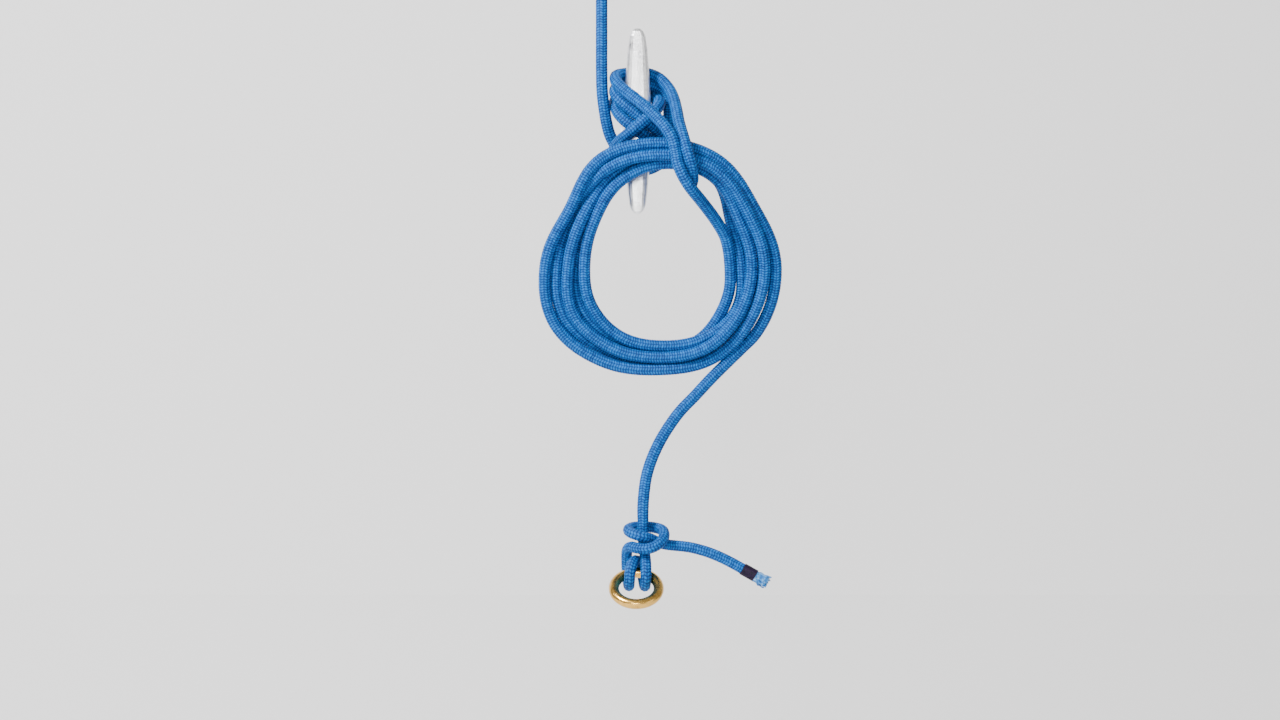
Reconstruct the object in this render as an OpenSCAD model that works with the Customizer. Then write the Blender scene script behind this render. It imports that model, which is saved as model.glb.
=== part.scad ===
// Coiled dock line hung on a horn cleat, with a brass ring hitched to its tail.
// Millimetres. The wall is the plane y = 0, the object stands out toward -y, +z is up.
// The origin is the middle of the cleat's base, on the wall.

/* [Rope] */
// Diameter of the dock line
rope_d = 10; // [9:0.5:10.5]
// Diameter where the knot on the ring squeezes the line
knot_rope_d = 9; // [8:0.5:9.5]
// Number of sides of each rope tube
rope_sides = 10; // [8:1:12]

/* [Coil] */
// Sideways place of the coil's middle
coil_x = 18.5; // [10:0.5:25]
// Height of the coil's middle below the cleat
coil_z = -116; // [-120:0.5:-112]
// Distance of the coil's top from the wall
coil_top_y = 58.5; // [58:0.5:62]
// How far the coil leans back for each millimetre of drop
coil_lean = 0.2575; // [0.2:0.005:0.3]

/* [Cleat] */
// Length over both horns
cleat_l = 152; // [140:1:160]
// Width of the crown
crown_w = 22; // [18:1:24]
// Height of the crown above the wall
crown_h = 38.5; // [36:0.5:42]
// Diameter of each leg
leg_d = 16; // [14:0.5:16.5]
// Distance between the middles of the two legs
leg_pitch = 30; // [28:1:32]
// Thickness of the base pad
pad_t = 4; // [3:0.5:5]
// Radius of the fillet between leg and pad
fillet_r = 5.5; // [3:0.5:5.5]

/* [Screws] */
// Diameter of the screw shanks
screw_d = 6; // [5:0.5:6]
// Diameter of the countersunk heads
head_d = 12; // [10:0.5:12.5]
// Length of shank behind the wall
screw_out = 22; // [10:1:30]
// Bore of the screw holes in the cleat
bore_d = 6.6; // [6.2:0.1:7]

/* [Ring] */
// Radius of the ring's centre line
ring_r = 18.5; // [16:0.5:20]
// Diameter of the ring's wire
ring_wire_d = 8.4; // [6:0.2:8.6]
// Tilt of the ring's face below the horizontal look
ring_tilt = 48.7; // [40:0.1:60]

/* [Eye splice] */
// Inner length of the eye
eye_l = 96; // [70:2:100]
// Inner width of the eye
eye_w = 34; // [28:1:44]
// Thickness of the line where the tail is buried in it
bury_d = 12; // [10.5:0.5:13]

/* [Hidden] */
$fn = 48;
eps = 0.01;
rope_r = rope_d / 2;
knot_r = knot_rope_d / 2;
coil_y = -coil_top_y - coil_lean * (coil_z + 28);

// Edge radii of the coil every 30 degrees, counter-clockwise from the right
coil_in = [52, 60, 78, 78, 67, 57, 57, 62, 63, 65, 65, 57];
coil_out = [101, 93, 97, 97, 98, 91, 99, 107, 101, 93, 93, 104];
coil_thick = [20, 22, 24, 24, 22, 20, 20, 20, 20, 20, 20, 20];
coil_stations = 48;
coil_sides = 12;

// Eye, from its throat up round the top and back
eye_z = 176;
eye_x = -29.5;
eye_y = -36;
eye_half = eye_w / 2 + rope_r;
eye_route = [
    [-29.5, -36, 176], [-34, -36, 188], [-42, -36, 202], [-49, -36, 218], [-51.5, -36, 236],
    [-49.5, -36, 254], [-42, -36, 268], [-29.5, -36, 274], [-17, -36, 268], [-9.5, -36, 254],
    [-7.5, -36, 236], [-10, -36, 218], [-17, -36, 202], [-25, -36, 188], [-28.5, -36, 180]
];

standing_route = [
    [-29.5, -36, 112], [-29.5, -36, 88], [-29.5, -36, 64], [-29.5, -36, 42], [-29, -35.5, 24],
    [-27.5, -34, 11], [-25.5, -31, -1], [-22.5, -27, -11.5], [-17.5, -22, -20], [-10.5, -18, -26],
    [-1.5, -17, -28.5]
];
base_route = [
    [-1.5, -17, -28.5], [7.5, -19, -28.5], [14, -24, -27.5], [17.5, -30, -25], [16.5, -36.5, -21],
    [11, -41.5, -16], [3, -44, -10], [-5.5, -43.5, -3.5], [-13, -40.5, 3], [-17.5, -33.5, 10],
    [-18.5, -24.5, 17], [-15, -16, 23], [-8, -11, 27], [0, -9.8, 28.4]
];
crossing_route = [
    [0, -9.8, 28.4], [7.5, -10, 27.2], [13, -13.5, 22.5], [15.5, -22.5, 18.8], [18, -33.5, 16],
    [17.5, -43, 12.5], [14, -50, 7.5], [7.5, -54, 1.5], [0, -54.4, -5], [-8, -50, -11.5],
    [-14.5, -42, -16.5], [-19, -34, -22.5], [-20.5, -26, -30], [-17, -18.5, -36], [-9, -14, -39],
    [1, -13, -39.5]
];
locking_route = [
    [1, -13, -39.5], [11, -13.5, -38], [19.5, -17, -33], [25, -22, -23.5], [27.5, -26.5, -11.5],
    [28, -26.5, 1.5], [27.5, -22.5, 14.5], [23, -18.5, 25], [12, -18.8, 30.6], [0, -18.8, 31],
    [-10, -20.5, 30.5], [-17, -26.5, 28], [-18.5, -34.5, 24], [-15.5, -41, 18.5], [-8, -44, 11.5],
    [0.5, -44.8, 4.5], [9, -44.4, -2], [17.5, -42, -9], [24, -38.5, -17]
];
bight_route = [
    [24, -38.5, -17], [29.5, -37, -27], [34.5, -37, -37], [39, -40.5, -47], [42, -48.5, -51.3],
    [44, -59, -50.8], [45, -69.5, -47.3], [44.8, -76, -38.5], [42, -77.8, -28], [39, -73.5, -14.5],
    [36, -64.5, -3], [33.5, -53.5, 8], [30, -41.5, 18.5], [25, -30.5, 28], [17.5, -23.5, 36],
    [8, -19, 40], [-3, -17, 40.4], [-12, -20.5, 39.6], [-17.5, -28.5, 37.5], [-17.5, -38.5, 32.5],
    [-12, -47.5, 26], [-3, -55, 18.5], [6, -61.5, 11], [14.5, -68, 2.5], [22.5, -74, -6.5],
    [28.5, -77.4, -16.5], [31, -78, -26]
];
leadin_route = [
    [31.4, -78.2, -28], [33, -80.5, -37], [37, -82, -46.5], [43, -79, -56], [50, -70.5, -65],
    [57, -61, -74.5], [63.5, -53.5, -84], [69.5, -48, -95]
];
lead_route = [
    [104, -21, -168], [95, -19, -177.5], [86, -18, -186], [73.5, -18, -199], [60, -18, -212.5],
    [47.5, -18, -226], [35, -18.5, -239], [25.5, -19, -252], [17.5, -19.5, -265.5],
    [11.5, -20, -279], [7.5, -20, -292], [5.5, -20, -305], [4.5, -20, -316.5]
];
hitch_route = [
    [4.5, -20, -319], [4.5, -20, -330], [4.5, -19.5, -341], [5, -20.5, -351], [6.5, -27, -359.5], [7, -33.8, -367.5],
    [7, -35.2, -376.5], [6.5, -30, -385], [6, -20, -384.8], [5, -12.2, -378], [2.5, -12, -368],
    [-0.5, -18.5, -361.7], [-4, -28, -362.7], [-6, -33.8, -369.5], [-6.5, -32.2, -379.3],
    [-7, -23, -384.5], [-7.5, -14.5, -380.5], [-8.5, -11, -371.5], [-9, -12.5, -361.5],
    [-8.5, -17.5, -353.5], [-5, -26.5, -350.5], [1, -32.5, -351.5], [9, -35.5, -351.5],
    [16.5, -33.5, -348.5], [21.5, -27, -343], [21, -18, -336.5], [14.5, -11.5, -333],
    [5, -9.5, -332], [-3.5, -11.5, -333], [-7.5, -18, -335.5], [-5, -26, -338.5],
    [2, -29.8, -341.3], [10, -26.5, -343.5], [17, -19.5, -347], [24, -15.5, -349]
];
tail_route = [
    [24, -15.5, -349], [33, -15.5, -350], [42, -16.5, -351], [51, -17.5, -353], [60, -18, -355.8],
    [69, -18, -359.5], [78, -18, -364], [87, -18, -369]
];
tail_dir = [9, 0, -5];
whip_l = 12;
whip_r = 5.2;
end_l = 9;

// Horn stations: height, half width, underside and crown distance from the wall
horn = [
    [-76, 2.2, 36.5, 39.8], [-74, 4.6, 34.6, 41.2], [-70, 6.6, 32, 41.5], [-59, 8.2, 28.5, 40.6],
    [-42, 9.5, 26, 39.4], [-30, 10.4, 24.5, 38.7], [-20, 11, 23, 38.5], [0, 11, 23, 38.5],
    [20, 11, 23, 38.5], [30, 10.4, 24.5, 38.7], [42, 9.5, 26, 39.4], [59, 8.2, 28.5, 40.6],
    [70, 6.6, 32, 41.5], [74, 4.6, 34.6, 41.2], [76, 2.2, 36.5, 39.8]
];
horn_sides = 20;
pad_l = 64;
pad_w = 28;
leg_top = 27;
head_h = (head_d - screw_d) / 2;
head_gap = 0.3;
// The plain neck in the cleat is this much fuller than the thread
neck = 0.15;

ring_drop = -372;
ring_back = -22;
ring_x = -1;

// ---------- functions ----------

function unit(v) = v / norm(v);

function tangent(p, i) = unit(p[min(i + 1, len(p) - 1)] - p[max(i - 1, 0)]);

function square_to(n, t) = unit(n - (n * t) * t);

// Frames carried along a route, so that the tube doesn't twist
function frames(p, i, n) =
    i == len(p) ? [] : let (m = square_to(n, tangent(p, i))) concat([m], frames(p, i + 1, m));

function loop_value(v, a) =
    let (n = len(v), f = a / 360 * n, i = floor(f), t = f - i)
    let (a0 = v[(i + n - 1) % n], a1 = v[i % n], a2 = v[(i + 1) % n], a3 = v[(i + 2) % n])
    0.5 * (2 * a1 + (a2 - a0) * t + (2 * a0 - 5 * a1 + 4 * a2 - a3) * t * t
        + (3 * a1 - a0 - 3 * a2 + a3) * t * t * t);

function soft_corner(c, power) = sign(c) * pow(abs(c), power);

// Triangles of a closed skin over rows of m points, from row 0 to row n - 1
function skin(n, m) = [
    for (i = [0:n - 2]) for (k = [0:m - 1])
        each [
            [i * m + k, (i + 1) * m + k, (i + 1) * m + (k + 1) % m],
            [i * m + k, (i + 1) * m + (k + 1) % m, i * m + (k + 1) % m]
        ]
];

function ring_skin(n, m) = [
    for (i = [0:n - 1]) for (k = [0:m - 1])
        let (j = (i + 1) % n)
        each [
            [i * m + k, j * m + k, j * m + (k + 1) % m],
            [i * m + k, j * m + (k + 1) % m, i * m + (k + 1) % m]
        ]
];

// ---------- shared shapes ----------

// A rope tube through the route's points
module cord(p, r, s = rope_sides) {
    start = abs(tangent(p, 0) * [0, 1, 0]) > 0.8 ? [1, 0, 0] : [0, 1, 0];
    m = frames(p, 0, start);
    pts = [
        for (i = [0:len(p) - 1])
            let (t = tangent(p, i), b = cross(t, m[i]))
            for (k = [0:s - 1])
                p[i] + r * (cos(360 * k / s) * m[i] + sin(360 * k / s) * b)
    ];
    first = [for (k = [0:s - 1]) k];
    last = [for (k = [s - 1:-1:0]) (len(p) - 1) * s + k];
    polyhedron(points = pts, faces = concat([first], skin(len(p), s), [last]));
}

// ---------- cleat ----------

module horns() {
    n = len(horn);
    m = horn_sides;
    pts = [
        for (h = horn)
            for (k = [0:m - 1])
                let (c = cos(360 * k / m), s = sin(360 * k / m))
                [
                    h[1] * crown_w / 22 * soft_corner(c, 0.62),
                    -(h[2] + h[3]) / 2 + (h[3] - h[2]) / 2 * soft_corner(s, 0.62),
                    h[0] * cleat_l / 152
                ]
    ];
    first = [for (k = [0:m - 1]) k];
    last = [for (k = [m - 1:-1:0]) (n - 1) * m + k];
    polyhedron(points = pts, faces = concat([first], skin(n, m), [last]));
}

module pad_outline(inset) {
    r = pad_w / 2 - inset;
    hull() {
        translate([0, pad_l / 2 - pad_w / 2]) circle(r);
        translate([0, -pad_l / 2 + pad_w / 2]) circle(r);
    }
}

module leg() {
    rotate([90, 0, 0])
    rotate_extrude()
    difference() {
        square([leg_d / 2 + fillet_r, leg_top]);
        translate([leg_d / 2 + fillet_r, pad_t + fillet_r]) circle(fillet_r);
        translate([leg_d / 2, pad_t + fillet_r]) square([fillet_r + 1, leg_top]);
    }
}

module screw_hole() {
    rotate([90, 0, 0])
    rotate_extrude()
    polygon([
        [0, -1], [bore_d / 2, -1], [bore_d / 2, crown_h - head_h - head_gap],
        [head_d / 2 + head_gap, crown_h - head_gap], [head_d / 2 + head_gap, crown_h + 5],
        [0, crown_h + 5]
    ]);
}

module cleat() {
    color([0.80, 0.81, 0.82])
    difference() {
        union() {
            horns();
            rotate([90, 0, 0]) linear_extrude(pad_t) pad_outline(0);
            for (s = [-1, 1]) translate([0, 0, s * leg_pitch / 2]) leg();
        }
        for (s = [-1, 1]) translate([0, 0, s * leg_pitch / 2]) screw_hole();
    }
}

module screw() {
    rotate([90, 0, 0])
    rotate_extrude()
    polygon([
        [0, -screw_out], [screw_d / 2 - 1, -screw_out], [screw_d / 2, -screw_out + 1.5],
        [screw_d / 2, -0.8], [screw_d / 2 + neck, -0.8 + neck],
        [screw_d / 2 + neck, crown_h - head_h - 0.8], [head_d / 2, crown_h - 0.8],
        [head_d / 2, crown_h - 0.4], [0, crown_h - 0.4]
    ]);
}

module cleat_screws() {
    color([0.70, 0.71, 0.73])
    for (s = [-1, 1]) translate([0, 0, s * leg_pitch / 2]) screw();
}

// ---------- line ----------

module eye_loop() {
    color([0.28, 0.49, 0.70]) cord(eye_route, rope_r);
}

module eye_throat_whipping() {
    color([0.10, 0.10, 0.22])
    translate([eye_x, eye_y, eye_z - 16])
    difference() {
        cylinder(h = 16, r = bury_d / 2 + 1.2);
        translate([0, 0, -1]) cylinder(h = 18, r = bury_d / 2);
    }
}

module eye_bury() {
    color([0.28, 0.49, 0.70])
    translate([eye_x, eye_y, 0])
    rotate_extrude()
    polygon([
        [0, 112], [rope_r, 112], [bury_d / 2, 132], [bury_d / 2, eye_z], [0, eye_z]
    ]);
}

module standing_part() {
    color([0.28, 0.49, 0.70]) cord(standing_route, rope_r);
}

module base_turn() {
    color([0.27, 0.47, 0.68]) cord(base_route, rope_r);
}

module crossing_turn() {
    color([0.30, 0.51, 0.72]) cord(crossing_route, rope_r);
}

module locking_turn() {
    color([0.26, 0.46, 0.66]) cord(locking_route, rope_r);
}

module hanging_bight() {
    color([0.32, 0.53, 0.75]) cord(bight_route, rope_r);
}

module coil_lead_in() {
    color([0.30, 0.51, 0.73]) cord(leadin_route, rope_r);
}

module coil() {
    n = coil_stations;
    m = coil_sides;
    pts = [
        for (i = [0:n - 1])
            let (a = -360 * i / n + 360)
            let (ri = loop_value(coil_in, a), ro = loop_value(coil_out, a))
            let (th = loop_value(coil_thick, a), rc = (ri + ro) / 2)
            for (k = [0:m - 1])
                let (u = soft_corner(cos(360 * k / m), 0.62), v = soft_corner(sin(360 * k / m), 0.62))
                let (r = rc + (ro - ri) / 2 * u, lift = coil_lean * rc * sin(a))
                [coil_x + r * cos(a), coil_y - lift + th / 2 * v, coil_z + r * sin(a)]
    ];
    color([0.29, 0.50, 0.72]) polyhedron(points = pts, faces = ring_skin(n, m));
}

module lead_line() {
    color([0.30, 0.52, 0.74]) cord(lead_route, rope_r);
}

module ring_hitch() {
    color([0.29, 0.50, 0.72]) cord(hitch_route, knot_r);
}

module tail() {
    color([0.30, 0.51, 0.73]) cord(tail_route, knot_r);
}

// A round piece that carries on where the tail ends
module along_tail(from) {
    p = tail_route[len(tail_route) - 1] + from * unit(tail_dir);
    translate(p) rotate([0, 90 + atan2(5, 9), 0]) children();
}

module tail_whipping() {
    color([0.10, 0.10, 0.22]) along_tail(0) cylinder(h = whip_l, r = whip_r);
}

module cut_end() {
    color([0.55, 0.68, 0.82]) along_tail(whip_l) cylinder(h = end_l, r1 = knot_r, r2 = rope_r);
}

// ---------- ring ----------

module hitch_ring() {
    color([0.80, 0.62, 0.30])
    translate([ring_x, ring_back, ring_drop])
    rotate([-ring_tilt, 0, 0])
    translate([0, 0, -ring_r])
    rotate([90, 0, 0])
    rotate_extrude()
    translate([ring_r, 0]) circle(ring_wire_d / 2, $fn = 24);
}

cleat();
cleat_screws();
eye_loop();
eye_throat_whipping();
eye_bury();
standing_part();
base_turn();
crossing_turn();
locking_turn();
hanging_bight();
coil_lead_in();
coil();
lead_line();
ring_hitch();
tail();
tail_whipping();
cut_end();
hitch_ring();
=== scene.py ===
import math

import bpy
import numpy as np
from mathutils import Matrix, Vector


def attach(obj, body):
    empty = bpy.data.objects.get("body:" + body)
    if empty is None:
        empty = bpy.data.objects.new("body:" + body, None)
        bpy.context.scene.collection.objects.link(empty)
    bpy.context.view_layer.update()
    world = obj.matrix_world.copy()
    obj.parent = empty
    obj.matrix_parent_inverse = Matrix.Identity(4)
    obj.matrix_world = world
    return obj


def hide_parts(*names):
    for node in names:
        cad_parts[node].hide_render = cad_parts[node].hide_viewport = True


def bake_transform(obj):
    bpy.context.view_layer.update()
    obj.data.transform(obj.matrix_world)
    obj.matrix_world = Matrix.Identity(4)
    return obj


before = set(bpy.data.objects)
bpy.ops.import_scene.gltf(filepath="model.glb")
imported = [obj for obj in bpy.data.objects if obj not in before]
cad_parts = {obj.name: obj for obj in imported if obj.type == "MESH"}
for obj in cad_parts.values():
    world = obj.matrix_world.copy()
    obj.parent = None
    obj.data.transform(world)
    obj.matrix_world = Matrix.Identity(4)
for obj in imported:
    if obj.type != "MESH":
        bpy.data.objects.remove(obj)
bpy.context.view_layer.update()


# ---------------------------------------------------------------- camera
# A long lens square to the wall, level with the middle of the hung line.
# The view is about 1.05 m wide where the line hangs.
camera_data = bpy.data.cameras.new("camera")
camera_data.lens = 135
camera_data.sensor_width = 36
camera_data.clip_end = 40
camera = bpy.data.objects.new("camera", camera_data)
view_width = 1.0517
view_x, hung_depth, view_z = 0.00205, -0.04, -0.1964
camera.location = (
    view_x, hung_depth - view_width * camera_data.lens / camera_data.sensor_width, view_z
)
camera.rotation_euler = (math.pi / 2, 0, 0)
bpy.context.scene.collection.objects.link(camera)
bpy.context.scene.camera = camera


# ---------------------------------------------------------------- floor and light
# A plain pale floor well under the hung line that sweeps up into a backdrop, a pale
# surround, a big soft light from the upper left, one in front and a weaker one from the
# right. The backdrop is clear from behind.
floor_sweep = [(-6, -0.75), (0.7, -0.75), (0.95, -0.7), (1.1, -0.6), (1.2, -0.45), (1.2, 4)]
floor_half_width = 6
floor_mesh = bpy.data.meshes.new("floor")
floor_mesh.from_pydata(
    [(x, y, z) for y, z in floor_sweep for x in (-floor_half_width, floor_half_width)], [],
    [(2 * i, 2 * i + 1, 2 * i + 3, 2 * i + 2) for i in range(len(floor_sweep) - 1)],
)
floor = bpy.data.objects.new("floor", floor_mesh)
bpy.context.scene.collection.objects.link(floor)
floor_paint = bpy.data.materials.new("floor_paint")
floor_paint.use_nodes = True
floor_tree = floor_paint.node_tree
floor_shader = floor_tree.nodes["Principled BSDF"]
floor_shader.inputs["Base Color"].default_value = (0.84, 0.835, 0.835, 1)
floor_shader.inputs["Roughness"].default_value = 0.9
floor_side = floor_tree.nodes.new("ShaderNodeNewGeometry")
floor_clear = floor_tree.nodes.new("ShaderNodeBsdfTransparent")
floor_mix = floor_tree.nodes.new("ShaderNodeMixShader")
floor_tree.links.new(floor_side.outputs["Backfacing"], floor_mix.inputs[0])
floor_tree.links.new(floor_shader.outputs[0], floor_mix.inputs[1])
floor_tree.links.new(floor_clear.outputs[0], floor_mix.inputs[2])
floor_tree.links.new(floor_mix.outputs[0], floor_tree.nodes["Material Output"].inputs["Surface"])
floor_mesh.materials.append(floor_paint)

surround = bpy.data.worlds.new("surround")
surround.use_nodes = True
surround_light = surround.node_tree.nodes["Background"]
surround_light.inputs["Color"].default_value = (0.80, 0.80, 0.805, 1)
surround_light.inputs["Strength"].default_value = 0.5
bpy.context.scene.world = surround


def soft_light(name, place, aim, size, watts):
    """A round soft light at a place, turned towards a point."""
    data = bpy.data.lights.new(name, "AREA")
    data.shape = "DISK"
    data.size = size
    data.energy = watts
    lamp = bpy.data.objects.new(name, data)
    lamp.location = place
    toward = [aim[i] - place[i] for i in range(3)]
    flat = math.hypot(toward[0], toward[1])
    lamp.rotation_euler = (
        math.atan2(flat, -toward[2]), 0, math.atan2(toward[1], toward[0]) - math.pi / 2
    )
    bpy.context.scene.collection.objects.link(lamp)


soft_light("key_light", (-1.5, -1.6, 1.5), (0, 0, -0.15), 0.8, 175)
soft_light("front_light", (-0.35, -4.4, 0.4), (0, 0, -0.1), 1.0, 75)
soft_light("fill_light", (2.0, -1.9, 0.0), (0, 0, -0.2), 1.4, 8)


# ---------------------------------------------------------------- dock line, its run
# One braided polyester line, 10 mm thick, from the spliced eye to the whipped end. All its
# stretches are cut from one smooth line, so the braid runs on without a break. The points
# below are millimetres.
ROPE = 0.010
KNOT_ROPE = 0.0092

eye_run = [
    (-29.5, -36, 176), (-34, -36, 188), (-42, -36, 202), (-49, -36, 218), (-51.5, -36, 236),
    (-49.5, -36, 254), (-42, -36, 268), (-29.5, -36, 274), (-17, -36, 268), (-9.5, -36, 254),
    (-7.5, -36, 236), (-10, -36, 218), (-17, -36, 202), (-25, -36, 188), (-28.5, -36, 180),
]
bury_run = [(-29.5, -36, 164), (-29.5, -36, 148), (-29.5, -36, 130)]
standing_run = [
    (-29.5, -36, 112), (-29.5, -36, 88), (-29.5, -36, 64), (-29.5, -36, 42), (-29, -35.5, 24),
    (-27.5, -34, 11), (-25.5, -31, -1), (-22.5, -27, -11.5), (-17.5, -22, -20), (-10.5, -18, -26),
    (-1.5, -17, -28.5),
]
base_run = [
    (7.5, -19, -28.5), (14, -24, -27.5), (17.5, -30, -25), (16.5, -36.5, -21),
    (11, -41.5, -16), (3, -44, -10), (-5.5, -43.5, -3.5), (-13, -40.5, 3), (-17.5, -33.5, 10),
    (-18.5, -24.5, 17), (-15, -16, 23), (-8, -11, 27), (0, -9.8, 28.4),
]
crossing_run = [
    (7.5, -10, 27.2), (13, -13.5, 22.5), (15.5, -22.5, 18.8), (18, -33.5, 16),
    (17.5, -43, 12.5), (14, -50, 7.5), (7.5, -54, 1.5), (0, -54.4, -5), (-8, -50, -11.5),
    (-14.5, -42, -16.5), (-19, -34, -22.5), (-20.5, -26, -30), (-17, -18.5, -36), (-9, -14, -39),
    (1, -13, -39.5),
]
locking_run = [
    (11, -13.5, -38), (19.5, -17, -33), (25, -22, -23.5), (26, -26.5, -11.5),
    (26, -26.5, 1.5), (25.8, -23.5, 11.5), (23.6, -20.2, 21), (18, -18.8, 27.6),
    (9.5, -18.8, 30.7), (0, -18.8, 31),
    (-10, -20.5, 30.5), (-17, -26.5, 28), (-18.5, -34.5, 24), (-15.5, -41, 18.5), (-8, -44, 11.5),
    (0.5, -44.8, 4.5), (9, -44.4, -2), (17.5, -42, -9), (24, -38.5, -17),
]
bight_run = [
    (29.5, -37, -27), (34.5, -37, -37), (39, -40.5, -47), (42, -48.5, -52.7),
    (44, -59, -52.4), (45, -69.5, -48.6), (44, -76.8, -38.5), (41, -78.5, -28),
    (37.2, -73.5, -14.5), (34, -64.5, -3), (32, -53.5, 8), (29.5, -41.5, 18.5), (25, -30.5, 28),
    (17.5, -23.5, 36), (8, -19, 40), (-3, -17, 40.4), (-12, -20.5, 39.6), (-17.5, -28.5, 37.5),
    (-17.5, -38.5, 32.5), (-12, -47.5, 26), (-3, -55, 18.5), (6, -61.5, 11),
]
leg_run = [
    (14.5, -68, 2.5), (22.5, -74, -6.5), (28.5, -77.4, -16.5), (31.2, -78.2, -27),
    (33, -80.5, -37), (37, -82, -46.5), (43, -79, -56), (50.6, -70, -65),
    (58.4, -60.7, -74.5), (65.4, -53, -84),
]
lead_run = [
    (96, -21.5, -176.8), (86.3, -18.8, -186.5), (73.5, -18, -199), (60, -18, -212.5),
    (47.5, -18, -226),
    (35, -18.5, -239), (25.5, -19, -252), (17.5, -19.5, -265.5), (11.5, -20, -279),
    (7.5, -20, -292), (5.5, -20, -305), (4.5, -20, -318), (4.5, -20, -330),
]
hitch_run = [
    (4.5, -19.5, -341), (5, -20.8, -351), (6.5, -26.5, -359.5), (7, -31.6, -366.5),
    (7, -33, -374), (6.6, -29.8, -380.2), (6, -22.4, -383), (5.2, -15, -380.2), (4, -12, -373.5),
    (2, -14.5, -365.8), (-1, -21, -362), (-4, -28.5, -363.8), (-6, -32.8, -370),
    (-6.6, -31.2, -378.3), (-7, -24, -382.6), (-7.6, -16.2, -380.8), (-8.4, -11.8, -374),
    (-9, -12.5, -364), (-8.5, -17.5, -353.5), (-5, -26.5, -350.5), (1, -32.5, -351.5),
    (9, -35.5, -351.5),
    (16.5, -33.5, -348.5), (21.5, -27, -343), (21, -18, -337.5), (14.5, -11.5, -335.2),
    (5, -9.5, -334.4), (-3.5, -11.5, -334.8), (-7.5, -18, -336.5), (-5, -26, -339),
    (2, -29.8, -341.3), (10, -26.5, -343.5), (17, -19.5, -347), (24, -15.5, -349),
]
tail_run = [
    (33, -15.5, -350), (42, -16.5, -351), (51, -17.5, -353), (60, -18, -355.8),
    (69, -18, -359.5), (78, -18, -364), (87, -18, -369), (97.4, -18, -374.8),
]

# The coil's passes, as radii every 30 degrees from 60 degrees clockwise, and how far each
# lies in front of (less than 0) or behind the coil's middle layer. The leg joins the coil
# 38 degrees after its start.
COIL_X, COIL_Z = 18.5, -116.0
COIL_LEAN = 0.2575
BIGHT_DEPTH, BIGHT_Z = -58.5, -28
COIL_START = 60
LEG_JOINS = 38
PER_TURN = 12
COIL_STEPS = 48
pass_radius = [
    [59, 57.3, 58.5, 64.6, 72, 74, 74, 75.5, 69, 70, 78, 84],
    [85, 67, 65.5, 73, 73, 70, 69.5, 66.5, 62, 64, 73.5, 81],
    [83.5, 74, 75, 77, 78.5, 77, 80.5, 82.5, 75, 73.5, 81, 88],
    [89, 80, 81, 83, 85, 82.5, 86, 91, 84.5, 81, 87.5, 87.5],
    [88, 83, 86, 88, 90, 87.5, 94, 100.2, 93.5, 85, 95, 95],
    [94, 88, 94.8, 98.2],
]
pass_depth = [
    [-8, -6.5, -2, 1, 4, 5, 3, -1, 5, 5, 5, 5],
    [5, 3, -2, 3, -3, -4, -3, -4, -4, -4, -4, -5],
    [-5, -5, -4, -4, -5, -4, -5, -4, -4, -4, 5, 6],
    [5, 5, 6, 6, 3, -2, 4, -2, -2, 5, -5, -4],
    [-4, -4, -4, -4, -2, -4, -4, -3, -4, -4, -4, -4],
    [-3, -3, -2, -2],
]


def turned_point(theta, radius, depth):
    """A point of the coil, which leans back towards the wall below the bight."""
    lean = COIL_LEAN * radius * math.sin(theta)
    middle = BIGHT_DEPTH - COIL_LEAN * (COIL_Z - BIGHT_Z)
    return (
        COIL_X + radius * math.cos(theta),
        middle - lean + depth,
        COIL_Z + radius * math.sin(theta),
    )


def cubic_between(values, f):
    """The value at a place between the listed ones, on a smooth curve through them."""
    i = int(math.floor(f))
    t = f - i
    a, b, c, d = (values[min(max(k, 0), len(values) - 1)] for k in (i - 1, i, i + 1, i + 2))
    return b + 0.5 * t * (c - a + t * (2 * a - 5 * b + 4 * c - d + t * (3 * (b - c) + d - a)))


all_radius = [r for row in pass_radius for r in row]
all_depth = [d for row in pass_depth for d in row]
coil_count = int((len(all_radius) - 1) * COIL_STEPS / PER_TURN) + 1
coil_run = []
for i in range(coil_count):
    f = i * PER_TURN / COIL_STEPS
    theta = math.radians(COIL_START - 360 / PER_TURN * f)
    coil_run.append(turned_point(theta, cubic_between(all_radius, f), cubic_between(all_depth, f)))
coil_run = np.array(coil_run)
first_kept = int(round(LEG_JOINS / 360 * COIL_STEPS))


def settle_turns(points, thickness, rounds):
    """Pushes neighbouring turns apart until they lie beside and on each other."""
    push_share, depth_push, evening = 0.25, 1.5, 0.35
    first_pull, last_pull, depth_pull = 0.06, 0.02, 0.25
    p = points.copy()
    home = points.copy()
    index = np.arange(len(p))
    apart = np.abs(index[:, None] - index[None]) > COIL_STEPS // 3
    for step in range(rounds):
        gap = p[:, None] - p[None]
        far = np.linalg.norm(gap, axis=2) + 1e-9
        near = (far < thickness) & apart
        push = np.where(near, (thickness - far) / far, 0)[..., None] * gap
        push[..., 1] *= depth_push
        p = p + push_share * push.sum(1)
        pull = home - p
        pull[:, 1] *= depth_pull
        p = p + (first_pull if step < rounds * 0.7 else last_pull) * pull
        shift = p - home
        p[1:-1] += evening * ((shift[:-2] + shift[2:]) / 2 - shift[1:-1])
    return p


settled_run = settle_turns(coil_run, thickness=9.9, rounds=260)
ends_free = np.ones(coil_count)
ends_free[first_kept:first_kept + 4] = (0.15, 0.4, 0.65, 0.85)
ends_free[-4:] = (0.85, 0.6, 0.35, 0.15)
coil_run = (coil_run + ends_free[:, None] * (settled_run - coil_run))[first_kept:]


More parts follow.
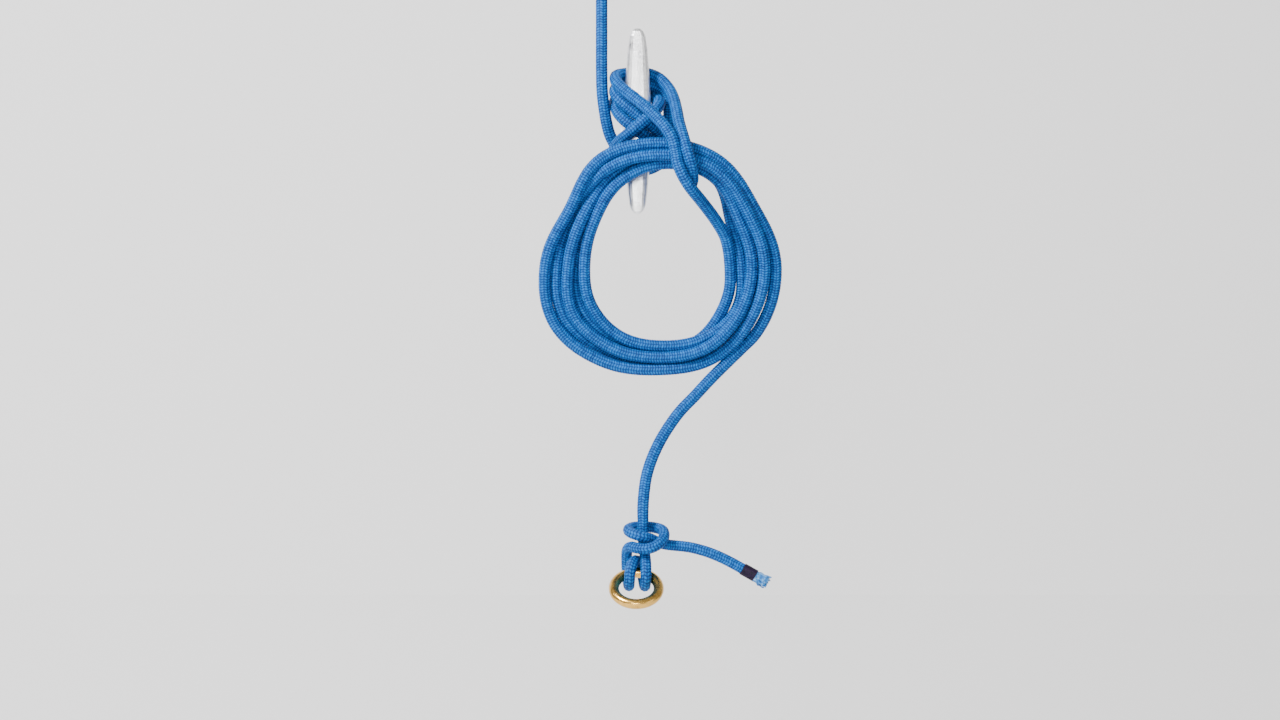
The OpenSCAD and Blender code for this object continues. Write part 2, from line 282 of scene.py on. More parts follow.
def smooth_line(points, spacing):
    """A smooth curve through the points, in metres, resampled at an even spacing."""
    p = np.array(points, float) / 1000
    p = np.vstack([2 * p[0] - p[1], p, 2 * p[-1] - p[-2]])
    knots = np.concatenate([[0], np.cumsum(np.linalg.norm(np.diff(p, axis=0), axis=1) ** 0.5)])
    steps = 16
    fine = []
    marks = []
    for i in range(1, len(p) - 2):
        t0, t1, t2, t3 = knots[i - 1:i + 3]
        t = np.linspace(t1, t2, steps, endpoint=False)[:, None]
        a1 = (t1 - t) / (t1 - t0) * p[i - 1] + (t - t0) / (t1 - t0) * p[i]
        a2 = (t2 - t) / (t2 - t1) * p[i] + (t - t1) / (t2 - t1) * p[i + 1]
        a3 = (t3 - t) / (t3 - t2) * p[i + 1] + (t - t2) / (t3 - t2) * p[i + 2]
        b1 = (t2 - t) / (t2 - t0) * a1 + (t - t0) / (t2 - t0) * a2
        b2 = (t3 - t) / (t3 - t1) * a2 + (t - t1) / (t3 - t1) * a3
        marks.append(len(fine) * steps)
        fine.append((t2 - t) / (t2 - t1) * b1 + (t - t1) / (t2 - t1) * b2)
    fine = np.vstack(fine + [p[-2:-1]])
    marks.append(len(fine) - 1)
    run = np.concatenate([[0], np.cumsum(np.linalg.norm(np.diff(fine, axis=0), axis=1))])
    count = int(round(run[-1] / spacing))
    even = np.linspace(0, run[-1], count + 1)
    line = np.stack([np.interp(even, run, fine[:, k]) for k in range(3)], 1)
    return line, even, run[marks]


def carried_frames(line):
    """Two directions square to the line, carried along it without twist."""
    tangent = np.gradient(line, axis=0)
    tangent /= np.linalg.norm(tangent, axis=1)[:, None]
    side = np.cross(tangent[0], (0.0, 1.0, 0.0))
    side /= np.linalg.norm(side)
    sides = np.empty_like(line)
    for i, t in enumerate(tangent):
        side = side - side.dot(t) * t
        side /= np.linalg.norm(side)
        sides[i] = side
    return sides, np.cross(tangent, sides)


# The mesh's step along the line in metres, and its points round the line.
GRAIN = 0.00055
ROUND = 60

stretches = [
    ("eye_loop", eye_run[::-1]), ("eye_bury", bury_run), ("standing_part", standing_run),
    ("base_turn", base_run), ("crossing_turn", crossing_run), ("locking_turn", locking_run),
    ("hanging_bight", bight_run), ("leg_to_coil", leg_run),
    ("coil", [tuple(q) for q in coil_run]), ("lead_line", lead_run), ("ring_hitch", hitch_run),
    ("tail", tail_run),
]
whole_run = [q for _, run in stretches for q in run]
whole_line, whole_length, whole_marks = smooth_line(whole_run, GRAIN)
whole_sides, whole_ups = carried_frames(whole_line)

stretch_ends = {}
count = 0
for name, run in stretches:
    first = max(count - 1, 0)
    count += len(run)
    stretch_ends[name] = (whole_marks[first], whole_marks[count - 1])
BURY_TAPER = 0.018
bury_start, bury_last_point = stretch_ends["eye_bury"]
stretch_ends["eye_bury"] = (bury_start, bury_last_point + BURY_TAPER)
stretch_ends["standing_part"] = (stretch_ends["eye_bury"][1], stretch_ends["standing_part"][1])


# ---------------------------------------------------------------- dock line, its braid
# A solid braid: ten columns of short plump stitches run along the line, leaning one way and
# the other by turns, so fine ribs cross it and dark furrows run between the columns.
# PICK is the length of a stitch along the line, LEAN how far it slants in its column.
COLUMNS = 10
PICK = 0.0022
LEAN = 0.4
CROWN_POWER, BOW_POWER = 2.4, 2.2
EDGE_HEIGHT, CROWN_RISE = 0.3, 0.7


def braid_height(around, along):
    """Height of the cover from 0 to 1. around counts columns, along counts stitches."""
    column = np.floor(around)
    across = around - column - 0.5
    side = np.where(column % 2 < 0.5, 1.0, -1.0)
    row = along + LEAN * across * side
    running = row - np.floor(row) - 0.5
    crown = np.clip(1 - (2 * np.abs(across)) ** CROWN_POWER, 0, 1)
    bow = np.clip(1 - (2 * np.abs(running)) ** BOW_POWER, 0, 1)
    return (EDGE_HEIGHT + CROWN_RISE * crown) * bow


def eased(share):
    return share * share * (3 - 2 * share)


def rope_thickness(run_at):
    """Fuller where the end is buried below the eye, pressed thin in the hitch on the ring."""
    throat, foot = stretch_ends["eye_bury"]
    full = eased(
        np.clip((foot - run_at) / 0.024, 0, 1) * np.clip((run_at - throat + 0.002) / 0.006, 0, 1)
    )
    hitch_start = stretch_ends["lead_line"][1]
    press = eased(np.clip((run_at - hitch_start + 0.012) / 0.02, 0, 1))
    bury_swell = 0.002
    return ROPE + (KNOT_ROPE - ROPE) * press + bury_swell * full


def rope_mesh(name, line, sides, ups, run_at, thick):
    """The cover's surface round a line, its ends closed, with a UV that counts stitches."""
    furrow_radius, stitch_rise = 0.93, 0.075
    n, m = len(line), ROUND
    turn = np.linspace(0, 2 * np.pi, m, endpoint=False)
    around = turn / (2 * np.pi) * COLUMNS
    h = braid_height(around[None, :], (run_at / PICK)[:, None])
    radius = thick[:, None] / 2 * (furrow_radius + stitch_rise * h)
    ring = (
        line[:, None]
        + radius[..., None] * (np.cos(turn)[None, :, None] * sides[:, None]
                               + np.sin(turn)[None, :, None] * ups[:, None])
    )
    verts = ring.reshape(-1, 3)
    i, k = np.meshgrid(np.arange(n - 1), np.arange(m), indexing="ij")
    k2 = (k + 1) % m
    quads = np.stack([i * m + k, i * m + k2, (i + 1) * m + k2, (i + 1) * m + k], -1).reshape(-1, 4)
    u = np.stack([k, k + 1, k + 1, k], -1) / m * COLUMNS
    v = run_at[np.stack([i, i, i + 1, i + 1], -1)] / PICK
    mesh = bpy.data.meshes.new(name)
    co = np.vstack([verts, line[0:1], line[-1:]])
    mesh.vertices.add(len(co))
    mesh.vertices.foreach_set("co", co.astype(np.float32).ravel())
    loops = quads.ravel()
    starts = np.arange(len(quads)) * 4
    totals = np.full(len(quads), 4)
    uv = np.stack([u.reshape(-1, 4).ravel(), v.reshape(-1, 4).ravel()], 1)
    rim = np.arange(m)
    rim2 = (rim + 1) % m
    first_cap = np.stack([np.full(m, n * m), rim2, rim], 1)
    last_cap = np.stack([np.full(m, n * m + 1), (n - 1) * m + rim, (n - 1) * m + rim2], 1)
    caps = np.vstack([first_cap, last_cap])
    starts = np.concatenate([starts, len(loops) + np.arange(len(caps)) * 3])
    totals = np.concatenate([totals, np.full(len(caps), 3)])
    loops = np.concatenate([loops, caps.ravel()])
    uv = np.vstack([uv, np.zeros((caps.size, 2))])
    mesh.loops.add(len(loops))
    mesh.loops.foreach_set("vertex_index", loops.astype(np.int32))
    mesh.polygons.add(len(starts))
    mesh.polygons.foreach_set("loop_start", starts.astype(np.int32))
    mesh.polygons.foreach_set("loop_total", totals.astype(np.int32))
    mesh.polygons.foreach_set("use_smooth", np.ones(len(starts), bool))
    layer = mesh.uv_layers.new(name="braid")
    layer.data.foreach_set("uv", uv.astype(np.float32).ravel())
    mesh.update(calc_edges=True)
    mesh.validate()
    made = bpy.data.objects.new(name, mesh)
    bpy.context.scene.collection.objects.link(made)
    return made


def cut_stretch(name, start, end):
    """The piece of the whole line between two lengths along it."""
    i, j = (int(round(at / whole_length[-1] * (len(whole_line) - 1))) for at in (start, end))
    part = slice(i, j + 1)
    made = rope_mesh(
        "braid_" + name, whole_line[part], whole_sides[part], whole_ups[part],
        whole_length[part], rope_thickness(whole_length[part]),
    )
    return made, whole_line[part], whole_length[j] - whole_length[i]


def link(tree, out, into):
    tree.links.new(out, into)


def math_node(tree, kind, a, b=None, c=None, clamp=False):
    """One sum in a node tree. Each of a, b and c is a number or another node's output."""
    node = tree.nodes.new("ShaderNodeMath")
    node.operation = kind
    node.use_clamp = clamp
    for socket, value in zip(node.inputs, (a, b, c)):
        if value is None:
            continue
        if isinstance(value, (int, float)):
            socket.default_value = value
        else:
            link(tree, value, socket)
    return node.outputs[0]


def braid_group():
    """The braid's stitches, from a UV that counts columns and stitches."""
    tree = bpy.data.node_groups.new("braid_stitches", "ShaderNodeTree")
    tree.interface.new_socket("UV", in_out="INPUT", socket_type="NodeSocketVector")
    for name in ("Height", "Stitch", "Yarn", "Fibre"):
        tree.interface.new_socket(name, in_out="OUTPUT", socket_type="NodeSocketFloat")
    group_in = tree.nodes.new("NodeGroupInput")
    group_out = tree.nodes.new("NodeGroupOutput")
    split = tree.nodes.new("ShaderNodeSeparateXYZ")
    link(tree, group_in.outputs["UV"], split.inputs[0])
    column = math_node(tree, "FLOOR", split.outputs[0])
    across = math_node(tree, "SUBTRACT", math_node(tree, "SUBTRACT", split.outputs[0], column), 0.5)
    odd = math_node(tree, "GREATER_THAN", math_node(tree, "FLOORED_MODULO", column, 2.0), 0.5)
    side = math_node(tree, "MULTIPLY_ADD", odd, -2.0, 1.0)
    lean = math_node(tree, "MULTIPLY", math_node(tree, "MULTIPLY", across, side), LEAN)
    row = math_node(tree, "ADD", split.outputs[1], lean)
    stitch_number = math_node(tree, "FLOOR", row)
    running = math_node(tree, "SUBTRACT", math_node(tree, "SUBTRACT", row, stitch_number), 0.5)

    def mound(value, power):
        steep = math_node(tree, "MULTIPLY", math_node(tree, "ABSOLUTE", value), 2.0)
        return math_node(tree, "SUBTRACT", 1.0, math_node(tree, "POWER", steep, power), clamp=True)

    crown = mound(across, CROWN_POWER)
    bow = mound(running, BOW_POWER)
    rise = math_node(tree, "MULTIPLY_ADD", crown, CROWN_RISE, EDGE_HEIGHT)
    height = math_node(tree, "MULTIPLY", rise, bow)
    fibre_waves = 3.5
    fibre = math_node(tree, "MULTIPLY", running, 2 * fibre_waves * math.pi)
    fibre = math_node(tree, "SINE", fibre)
    fibre = math_node(tree, "MULTIPLY_ADD", fibre, 0.5, 0.5)
    link(tree, height, group_out.inputs["Height"])
    link(tree, crown, group_out.inputs["Stitch"])
    link(tree, fibre, group_out.inputs["Fibre"])
    seed = tree.nodes.new("ShaderNodeCombineXYZ")
    link(tree, column, seed.inputs[0])
    link(tree, stitch_number, seed.inputs[1])
    white = tree.nodes.new("ShaderNodeTexWhiteNoise")
    white.noise_dimensions = "2D"
    link(tree, seed.outputs[0], white.inputs["Vector"])
    link(tree, white.outputs["Value"], group_out.inputs["Yarn"])
    return tree


braid_stitches = braid_group()


def ramp(tree, value, stops):
    """Colours along a value, each stop being a level and a colour."""
    node = tree.nodes.new("ShaderNodeValToRGB")
    link(tree, value, node.inputs[0])
    points = node.color_ramp.elements
    while len(points) < len(stops):
        points.new(0.5)
    for point, (at, colour) in zip(points, stops):
        point.position = at
        point.color = (*colour, 1)
    return node.outputs[0]


def rope_finish(name, dark, mid, pale):
    """Dyed yarn, cloudy with wear, with painted shade: dark in the furrows, paler on the stitches.
    """
    paint = bpy.data.materials.new(name)
    paint.use_nodes = True
    tree = paint.node_tree
    shader = tree.nodes["Principled BSDF"]
    uv = tree.nodes.new("ShaderNodeUVMap")
    uv.uv_map = "braid"
    stitches = tree.nodes.new("ShaderNodeGroup")
    stitches.node_tree = braid_stitches
    link(tree, uv.outputs[0], stitches.inputs["UV"])
    place = tree.nodes.new("ShaderNodeTexCoord")
    cloudy = tree.nodes.new("ShaderNodeTexNoise")
    cloudy.inputs["Scale"].default_value = 38
    cloudy.inputs["Detail"].default_value = 3
    link(tree, place.outputs["Object"], cloudy.inputs["Vector"])
    # Painted shade: the stitch height makes the colour dark in the furrows and paler on the stitch
    # crowns. The random yarn tone, the fibres and the clouds are the yarn's own colour.
    level = math_node(tree, "MULTIPLY_ADD", stitches.outputs["Height"], 0.66, -0.02)
    level = math_node(tree, "MULTIPLY_ADD", stitches.outputs["Yarn"], 0.24, level)
    level = math_node(tree, "MULTIPLY_ADD", stitches.outputs["Fibre"], 0.06, level)
    level = math_node(tree, "MULTIPLY_ADD", cloudy.outputs["Fac"], 0.20, level)
    level = math_node(tree, "SUBTRACT", level, 0.10, clamp=True)
    colour = ramp(tree, level, [(0.0, dark), (0.42, mid), (1.0, pale)])
    link(tree, colour, shader.inputs["Base Color"])
    rough = math_node(tree, "MULTIPLY_ADD", stitches.outputs["Stitch"], -0.14, 0.72)
    link(tree, rough, shader.inputs["Roughness"])
    lift = math_node(
        tree, "MULTIPLY_ADD", stitches.outputs["Fibre"], 0.12, stitches.outputs["Height"]
    )
    bump = tree.nodes.new("ShaderNodeBump")
    bump.inputs["Strength"].default_value = 0.55
    bump.inputs["Distance"].default_value = 0.0004
    link(tree, lift, bump.inputs["Height"])
    link(tree, bump.outputs[0], shader.inputs["Normal"])
    shader.inputs["Sheen Weight"].default_value = 0.02
    shader.inputs["Sheen Roughness"].default_value = 0.4
    shader.inputs["Sheen Tint"].default_value = (0.45, 0.7, 1.0, 1)
    shader.inputs["Specular IOR Level"].default_value = 0.16
    return paint


blue_braid = rope_finish(
    "blue_braid", (0.0001, 0.003, 0.018), (0.0003, 0.046, 0.215), (0.001, 0.180, 0.580)
)
PATH_STEP = 0.004


def finish_rope(
    made, path, node, body=None
):
    """Gives a stretch its colour and its body, and hides the loaded piece it replaces."""
    made.data.materials.append(blue_braid)
    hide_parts(node)
    if body:
        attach(made, body)
    skip = max(1, int(PATH_STEP / GRAIN))
    points = [tuple(float(x) for x in q) for q in path[::skip]]
    if (len(path) - 1) % skip:
        points.append(tuple(float(x) for x in path[-1]))


# ---------------------------------------------------------------- dock line on the cleat
# The part that comes down from the eye, then three turns round the horns, one tucked under
# the next, and the bight that carries the coil and hooks over the upper horn.
for name in (
    "eye_loop", "eye_bury", "standing_part", "base_turn", "crossing_turn", "locking_turn",
    "hanging_bight",
):
    made, path, length = cut_stretch(name, *stretch_ends[name])
    finish_rope(made, path, name, "cleat_and_turns")


# ---------------------------------------------------------------- dock line, leg and coil
# The last leg runs down over the coil's top and into its inner side. Five turns and a bit
# hang in an oval coil, cut here into six equal pieces.
made, path, length = cut_stretch("leg_to_coil", *stretch_ends["leg_to_coil"])
finish_rope(made, path, "coil_lead_in")
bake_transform(made)

coil_start, coil_end = stretch_ends["coil"]
turn_count = 6
for k in range(turn_count):
    turn_start = coil_start + (coil_end - coil_start) * k / turn_count
    turn_end = coil_start + (coil_end - coil_start) * (k + 1) / turn_count
    made, path, length = cut_stretch(f"coil_turn_{k + 1}", turn_start, turn_end)
    finish_rope(made, path, "coil", "hung_coil")


# ---------------------------------------------------------------- dock line, free end
# The lead leaves the coil at the lower right, bends down plumb and takes a round turn
# through the ring, closed with a half hitch. Its tail sticks out to the right.
made, path, length = cut_stretch("lead_line", *stretch_ends["lead_line"])
finish_rope(made, path, "lead_line")
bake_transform(made)

made, path, length = cut_stretch("ring_hitch", *stretch_ends["ring_hitch"])
finish_rope(made, path, "ring_hitch", "free_end")
made, path, length = cut_stretch("tail", *stretch_ends["tail"])
finish_rope(
    made, path, "tail", "free_end"
)


# ---------------------------------------------------------------- cleat
# A horn cleat cast in aluminium alloy and tumbled bright: two horns, two legs and a pad with
# two countersunk holes. The pad lies flat on the wall.
def metal_wear_group():
    """Wear that every metal here shows: cloudy tarnish, rubbed lines and small pits."""
    pit_size, pit_depth = 0.16, -0.7
    tree = bpy.data.node_groups.new("metal_wear", "ShaderNodeTree")
    tree.interface.new_socket("Place", in_out="INPUT", socket_type="NodeSocketVector")
    for name, value in (("Cloud Scale", 120.0), ("Rub Scale", 360.0), ("Pit Scale", 1700.0)):
        socket = tree.interface.new_socket(name, in_out="INPUT", socket_type="NodeSocketFloat")
        socket.default_value = value
    for name in ("Stain", "Cloud", "Rubbed", "Height"):
        tree.interface.new_socket(name, in_out="OUTPUT", socket_type="NodeSocketFloat")
    into = tree.nodes.new("NodeGroupInput")
    out = tree.nodes.new("NodeGroupOutput")
    cloud = tree.nodes.new("ShaderNodeTexNoise")
    cloud.inputs["Detail"].default_value = 6
    cloud.inputs["Roughness"].default_value = 0.62
    link(tree, into.outputs["Place"], cloud.inputs["Vector"])
    link(tree, into.outputs["Cloud Scale"], cloud.inputs["Scale"])
    drawn = tree.nodes.new("ShaderNodeMapping")
    drawn.inputs["Scale"].default_value = (9, 9, 1)
    link(tree, into.outputs["Place"], drawn.inputs["Vector"])
    rubbed = tree.nodes.new("ShaderNodeTexNoise")
    rubbed.inputs["Detail"].default_value = 5
    link(tree, drawn.outputs[0], rubbed.inputs["Vector"])
    link(tree, into.outputs["Rub Scale"], rubbed.inputs["Scale"])
    pit = tree.nodes.new("ShaderNodeTexVoronoi")
    link(tree, into.outputs["Place"], pit.inputs["Vector"])
    link(tree, into.outputs["Pit Scale"], pit.inputs["Scale"])
    pitted = math_node(tree, "LESS_THAN", pit.outputs["Distance"], pit_size)
    stain = math_node(tree, "MULTIPLY_ADD", rubbed.outputs["Fac"], 0.35, cloud.outputs["Fac"])
    link(tree, math_node(tree, "MULTIPLY_ADD", pitted, -0.18, stain), out.inputs["Stain"])
    link(tree, cloud.outputs["Fac"], out.inputs["Cloud"])
    link(tree, rubbed.outputs["Fac"], out.inputs["Rubbed"])
    lift = math_node(tree, "MULTIPLY_ADD", pitted, pit_depth, cloud.outputs["Fac"])
    lift = math_node(tree, "MULTIPLY_ADD", rubbed.outputs["Fac"], 0.25, lift)
    link(tree, lift, out.inputs["Height"])
    return tree


metal_wear = metal_wear_group()


def metal_finish(name, clean, worn, scale, rough, pits, tarnish):
    """A metal with the shared wear at its own size and strength."""
    paint = bpy.data.materials.new(name)
    paint.use_nodes = True
    tree = paint.node_tree
    shader = tree.nodes["Principled BSDF"]
    place = tree.nodes.new("ShaderNodeTexCoord")
    wear = tree.nodes.new("ShaderNodeGroup")
    wear.node_tree = metal_wear
    link(tree, place.outputs["Object"], wear.inputs["Place"])
    wear.inputs["Cloud Scale"].default_value = scale
    wear.inputs["Rub Scale"].default_value = scale * 3
    wear.inputs["Pit Scale"].default_value = scale * 14
    colour = ramp(tree, wear.outputs["Stain"], [(0.42, worn), (0.66, clean), (1.0, clean)])
    link(tree, colour, shader.inputs["Base Color"])
    gloss = math_node(tree, "MULTIPLY_ADD", wear.outputs["Cloud"], tarnish, rough)
    gloss = math_node(tree, "MULTIPLY_ADD", wear.outputs["Rubbed"], 0.10, gloss, clamp=True)
    link(tree, gloss, shader.inputs["Roughness"])
    bump = tree.nodes.new("ShaderNodeBump")
    bump.inputs["Strength"].default_value = pits
    bump.inputs["Distance"].default_value = 0.0003
    link(tree, wear.outputs["Height"], bump.inputs["Height"])
    link(tree, bump.outputs[0], shader.inputs["Normal"])
    shader.inputs["Metallic"].default_value = 1.0
    return paint


def dress(node, paint):
    """Puts a finish on a piece that comes ready shaped."""
    for spot in bpy.data.objects[node].material_slots:
        spot.material = paint


cast_alloy = metal_finish(
    "cast_alloy", clean=(0.97, 0.97, 0.975), worn=(0.40, 0.41, 0.44),
    scale=170, rough=0.12, pits=0.8, tarnish=0.36,
)
dress("cleat", cast_alloy)


# ---------------------------------------------------------------- cleat screws
# Two countersunk screws of stainless steel that hold the pad to the wall. Their heads sit
# in the pad's holes and their shanks stand out behind it.
stainless = metal_finish(
    "stainless", clean=(0.72, 0.72, 0.73), worn=(0.40, 0.41, 0.43),
    scale=300, rough=0.12, pits=0.15, tarnish=0.30,
)
dress("cleat_screws", stainless)


# ---------------------------------------------------------------- ring
# A cast brass ring, polished once and now a little dull. It hangs in the round turn that
# the line's end takes through it.
brass = metal_finish(
    "brass", clean=(0.78, 0.46, 0.11), worn=(0.34, 0.16, 0.03),
    scale=130, rough=0.03, pits=0.22, tarnish=0.30,
)
dress("hitch_ring", brass)


# ---------------------------------------------------------------- whippings
# Waxed twine wound round the line in tight turns. One binds the throat of the eye and the
# other keeps the cover from opening near the cut end.
def twine_group():
    """Turns of twine round an axis, with named sizes."""
    tree = bpy.data.node_groups.new("twine_turns", "GeometryNodeTree")
    for name, value in (("Radius", 0.0055), ("Length", 0.012), ("Twine", 0.0009)):
        socket = tree.interface.new_socket(name, in_out="INPUT", socket_type="NodeSocketFloat")
        socket.default_value = value
    socket = tree.interface.new_socket("Material", in_out="INPUT", socket_type="NodeSocketMaterial")
    tree.interface.new_socket("Geometry", in_out="OUTPUT", socket_type="NodeSocketGeometry")
    into = tree.nodes.new("NodeGroupInput")
    out = tree.nodes.new("NodeGroupOutput")
    spiral = tree.nodes.new("GeometryNodeCurveSpiral")
    spiral.inputs["Resolution"].default_value = 40
    turns = math_node(tree, "DIVIDE", into.outputs["Length"], into.outputs["Twine"])
    link(tree, turns, spiral.inputs["Rotations"])
    link(tree, into.outputs["Radius"], spiral.inputs["Start Radius"])
    link(tree, into.outputs["Radius"], spiral.inputs["End Radius"])
    link(tree, into.outputs["Length"], spiral.inputs["Height"])
    section = tree.nodes.new("GeometryNodeCurvePrimitiveCircle")
    section.inputs["Resolution"].default_value = 10
    half = math_node(tree, "MULTIPLY", into.outputs["Twine"], 0.54)
    link(tree, half, section.inputs["Radius"])
    skin = tree.nodes.new("GeometryNodeCurveToMesh")
    skin.inputs["Fill Caps"].default_value = True
    link(tree, spiral.outputs[0], skin.inputs["Curve"])
    link(tree, section.outputs[0], skin.inputs["Profile Curve"])
    paint = tree.nodes.new("GeometryNodeSetMaterial")
    link(tree, skin.outputs[0], paint.inputs["Geometry"])
    link(tree, into.outputs["Material"], paint.inputs["Material"])
    link(tree, paint.outputs[0], out.inputs[0])
    return tree


def grown(name, tree, settings, turn_and_place):
    """Evaluates a node tree to a plain mesh and puts it in place."""
    seed_mesh = bpy.data.meshes.new(name + "_seed")
    holder = bpy.data.objects.new(name + "_seed", seed_mesh)
    bpy.context.scene.collection.objects.link(holder)
    modifier = holder.modifiers.new("grow", "NODES")
    modifier.node_group = tree
    for item in tree.interface.items_tree:
        if item.in_out == "INPUT" and item.name in settings:
            modifier[item.identifier] = settings[item.name]
    bpy.context.view_layer.update()
    evaluated = holder.evaluated_get(bpy.context.evaluated_depsgraph_get())
    mesh = bpy.data.meshes.new_from_object(evaluated)
    mesh.name = name
    mesh.transform(turn_and_place)
    mesh.update()
    bpy.data.objects.remove(holder)
    made = bpy.data.objects.new(name, mesh)
    bpy.context.scene.collection.objects.link(made)
    return made


dark_twine = bpy.data.materials.new("dark_twine")
dark_twine.use_nodes = True
twine_tree = dark_twine.node_tree
twine_shader = twine_tree.nodes["Principled BSDF"]
twine_place = twine_tree.nodes.new("ShaderNodeTexCoord")
twine_noise = twine_tree.nodes.new("ShaderNodeTexNoise")
twine_noise.inputs["Scale"].default_value = 900
twine_noise.inputs["Detail"].default_value = 4
link(twine_tree, twine_place.outputs["Object"], twine_noise.inputs["Vector"])
twine_colour = ramp(
    twine_tree, twine_noise.outputs["Fac"],
    [(0.36, (0.001, 0.001, 0.008)), (0.70, (0.020, 0.004, 0.036))],
)
link(twine_tree, twine_colour, twine_shader.inputs["Base Color"])
twine_bump = twine_tree.nodes.new("ShaderNodeBump")
twine_bump.inputs["Strength"].default_value = 0.5
twine_bump.inputs["Distance"].default_value = 0.0002
link(twine_tree, twine_noise.outputs["Fac"], twine_bump.inputs["Height"])
link(twine_tree, twine_bump.outputs[0], twine_shader.inputs["Normal"])
twine_shader.inputs["Roughness"].default_value = 0.6
twine_shader.inputs["Specular IOR Level"].default_value = 0.25

twine_turns = twine_group()
throat_whipping = grown(
    "throat_whipping", twine_turns,
    {"Radius": 0.0068, "Length": 0.016, "Twine": 0.0011, "Material": dark_twine},
    Matrix.Translation((-0.0295, -0.036, 0.160)),
)
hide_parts("eye_throat_whipping")
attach(throat_whipping, "cleat_and_turns")

tail_end = Vector((0.087, -0.018, -0.369))
tail_way = Vector((9, 0, -5))
tail_turn = Matrix.Rotation(math.pi / 2 + math.atan2(-tail_way.z, tail_way.x), 4, "Y")
tail_whipping = grown(
    "end_whipping", twine_turns,
    {"Radius": 0.0047, "Length": 0.012, "Twine": 0.001, "Material": dark_twine},
    Matrix.Translation(tail_end) @ tail_turn,
)
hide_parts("tail_whipping")
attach(tail_whipping, "free_end")


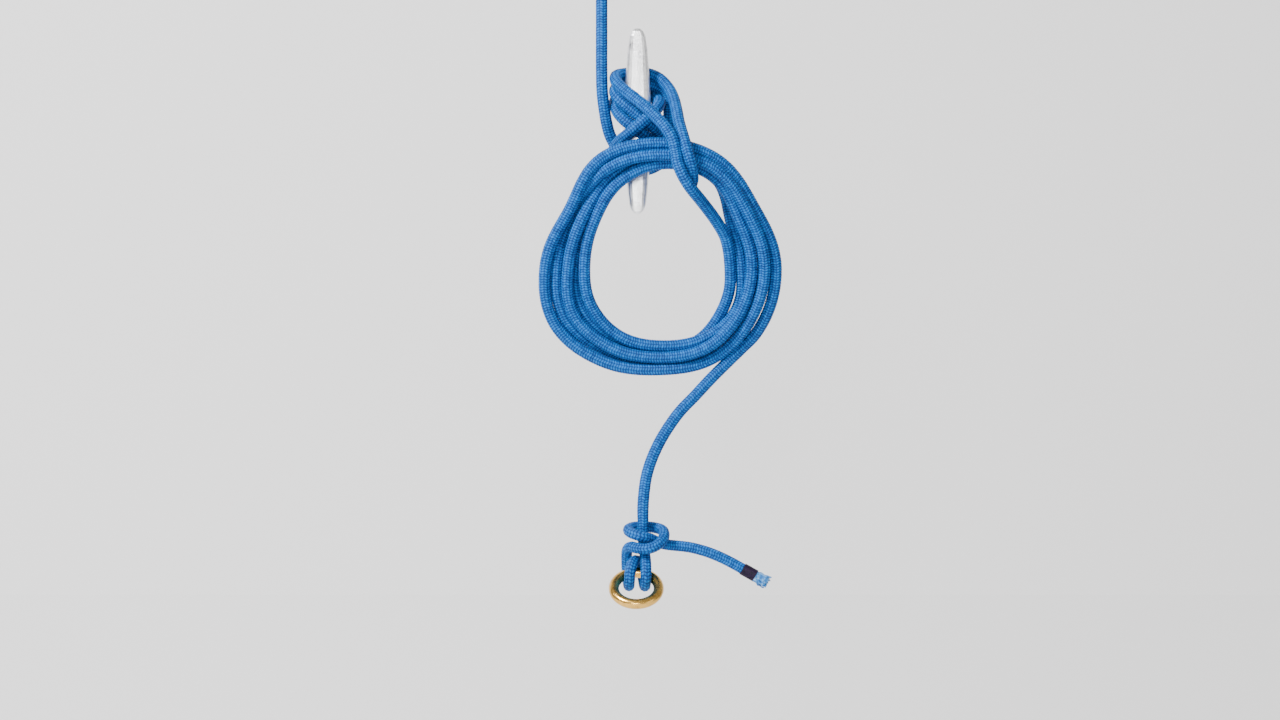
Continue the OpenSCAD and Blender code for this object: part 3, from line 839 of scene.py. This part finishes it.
# ---------------------------------------------------------------- cut end
# Past the whipping the cover is gone and the core yarns stand out in a short brush. They
# are blue in patches and pale in others.
def brush_group():
    """A bunch of short yarns with random lengths and bends, with named sizes."""
    tree = bpy.data.node_groups.new("yarn_brush", "GeometryNodeTree")
    for name, value in (("Radius", 0.004), ("Length", 0.009), ("Yarn", 0.0004), ("Spread", 0.002)):
        socket = tree.interface.new_socket(name, in_out="INPUT", socket_type="NodeSocketFloat")
        socket.default_value = value
    socket = tree.interface.new_socket("Count", in_out="INPUT", socket_type="NodeSocketInt")
    socket.default_value = 100
    tree.interface.new_socket("Material", in_out="INPUT", socket_type="NodeSocketMaterial")
    tree.interface.new_socket("Geometry", in_out="OUTPUT", socket_type="NodeSocketGeometry")
    into = tree.nodes.new("NodeGroupInput")
    out = tree.nodes.new("NodeGroupOutput")

    def chance(low, high, seed):
        node = tree.nodes.new("FunctionNodeRandomValue")
        node.data_type = "FLOAT"
        node.inputs[2].default_value = low
        node.inputs[3].default_value = high
        node.inputs["Seed"].default_value = seed
        return node.outputs[1]

    angle = chance(0.0, 2 * math.pi, 3)
    reach = math_node(tree, "SQRT", chance(0.0, 1.0, 8))
    reach = math_node(tree, "MULTIPLY", reach, into.outputs["Radius"])
    spot = tree.nodes.new("ShaderNodeCombineXYZ")
    for axis, wave in enumerate(("COSINE", "SINE")):
        out_from_middle = math_node(tree, "MULTIPLY", reach, math_node(tree, wave, angle))
        link(tree, out_from_middle, spot.inputs[axis])
    points = tree.nodes.new("GeometryNodePoints")
    link(tree, into.outputs["Count"], points.inputs["Count"])
    link(tree, spot.outputs[0], points.inputs["Position"])
    line = tree.nodes.new("GeometryNodeCurvePrimitiveLine")
    line.inputs["End"].default_value = (0, 0, 1)
    fine = tree.nodes.new("GeometryNodeResampleCurve")
    fine.inputs["Count"].default_value = 9
    link(tree, line.outputs[0], fine.inputs["Curve"])
    grow = tree.nodes.new("ShaderNodeCombineXYZ")
    grow.inputs[0].default_value = 1
    grow.inputs[1].default_value = 1
    long = math_node(tree, "MULTIPLY", into.outputs["Length"], chance(0.68, 1.0, 5))
    link(tree, long, grow.inputs[2])
    lean = tree.nodes.new("ShaderNodeCombineXYZ")
    most_lean = 0.16
    link(tree, chance(-most_lean, most_lean, 11), lean.inputs[0])
    link(tree, chance(-most_lean, most_lean, 12), lean.inputs[1])
    place = tree.nodes.new("GeometryNodeInstanceOnPoints")
    link(tree, points.outputs[0], place.inputs["Points"])
    link(tree, fine.outputs[0], place.inputs["Instance"])
    link(tree, lean.outputs[0], place.inputs["Rotation"])
    link(tree, grow.outputs[0], place.inputs["Scale"])
    real = tree.nodes.new("GeometryNodeRealizeInstances")
    link(tree, place.outputs[0], real.inputs[0])
    kinks = tree.nodes.new("ShaderNodeTexNoise")
    kinks.inputs["Scale"].default_value = 420
    kinks.inputs["Detail"].default_value = 1
    middle = tree.nodes.new("ShaderNodeVectorMath")
    middle.operation = "SUBTRACT"
    middle.inputs[1].default_value = (0.5, 0.5, 0.5)
    link(tree, kinks.outputs["Color"], middle.inputs[0])
    along = tree.nodes.new("GeometryNodeSplineParameter")
    amount = math_node(tree, "MULTIPLY", along.outputs["Factor"], into.outputs["Spread"])
    offset = tree.nodes.new("ShaderNodeVectorMath")
    offset.operation = "SCALE"
    link(tree, middle.outputs[0], offset.inputs[0])
    link(tree, amount, offset.inputs["Scale"])
    bend = tree.nodes.new("GeometryNodeSetPosition")
    link(tree, real.outputs[0], bend.inputs["Geometry"])
    link(tree, offset.outputs[0], bend.inputs["Offset"])
    section = tree.nodes.new("GeometryNodeCurvePrimitiveCircle")
    section.inputs["Resolution"].default_value = 8
    link(tree, into.outputs["Yarn"], section.inputs["Radius"])
    skin = tree.nodes.new("GeometryNodeCurveToMesh")
    skin.inputs["Fill Caps"].default_value = True
    link(tree, bend.outputs[0], skin.inputs["Curve"])
    link(tree, section.outputs[0], skin.inputs["Profile Curve"])
    paint = tree.nodes.new("GeometryNodeSetMaterial")
    link(tree, skin.outputs[0], paint.inputs["Geometry"])
    link(tree, into.outputs["Material"], paint.inputs["Material"])
    link(tree, paint.outputs[0], out.inputs[0])
    return tree


pale_core = bpy.data.materials.new("pale_core")
pale_core.use_nodes = True
core_tree = pale_core.node_tree
core_shader = core_tree.nodes["Principled BSDF"]
core_place = core_tree.nodes.new("ShaderNodeTexCoord")
core_patch = core_tree.nodes.new("ShaderNodeTexNoise")
core_patch.inputs["Scale"].default_value = 350
core_patch.inputs["Detail"].default_value = 3
link(core_tree, core_place.outputs["Object"], core_patch.inputs["Vector"])
core_fine = core_tree.nodes.new("ShaderNodeTexNoise")
core_fine.inputs["Scale"].default_value = 2600
core_fine.inputs["Detail"].default_value = 2
link(core_tree, core_place.outputs["Object"], core_fine.inputs["Vector"])
core_level = math_node(
    core_tree, "MULTIPLY_ADD", core_fine.outputs["Fac"], 0.3, core_patch.outputs["Fac"]
)
core_colour = ramp(
    core_tree, core_level,
    [(0.44, (0.002, 0.07, 0.28)), (0.66, (0.02, 0.2, 0.52)), (0.86, (0.30, 0.50, 0.70))],
)
link(core_tree, core_colour, core_shader.inputs["Base Color"])
core_shader.inputs["Roughness"].default_value = 0.62
core_bump = core_tree.nodes.new("ShaderNodeBump")
core_bump.inputs["Strength"].default_value = 0.4
core_bump.inputs["Distance"].default_value = 0.0001
link(core_tree, core_fine.outputs["Fac"], core_bump.inputs["Height"])
link(core_tree, core_bump.outputs[0], core_shader.inputs["Normal"])

frayed_end = grown(
    "frayed_end", brush_group(),
    {"Radius": 0.0044, "Length": 0.0125, "Yarn": 0.0005, "Spread": 0.0062, "Count": 190,
     "Material": pale_core},
    Matrix.Translation(tail_end + tail_way.normalized() * 0.0112) @ tail_turn,
)
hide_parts("cut_end")
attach(frayed_end, "free_end")
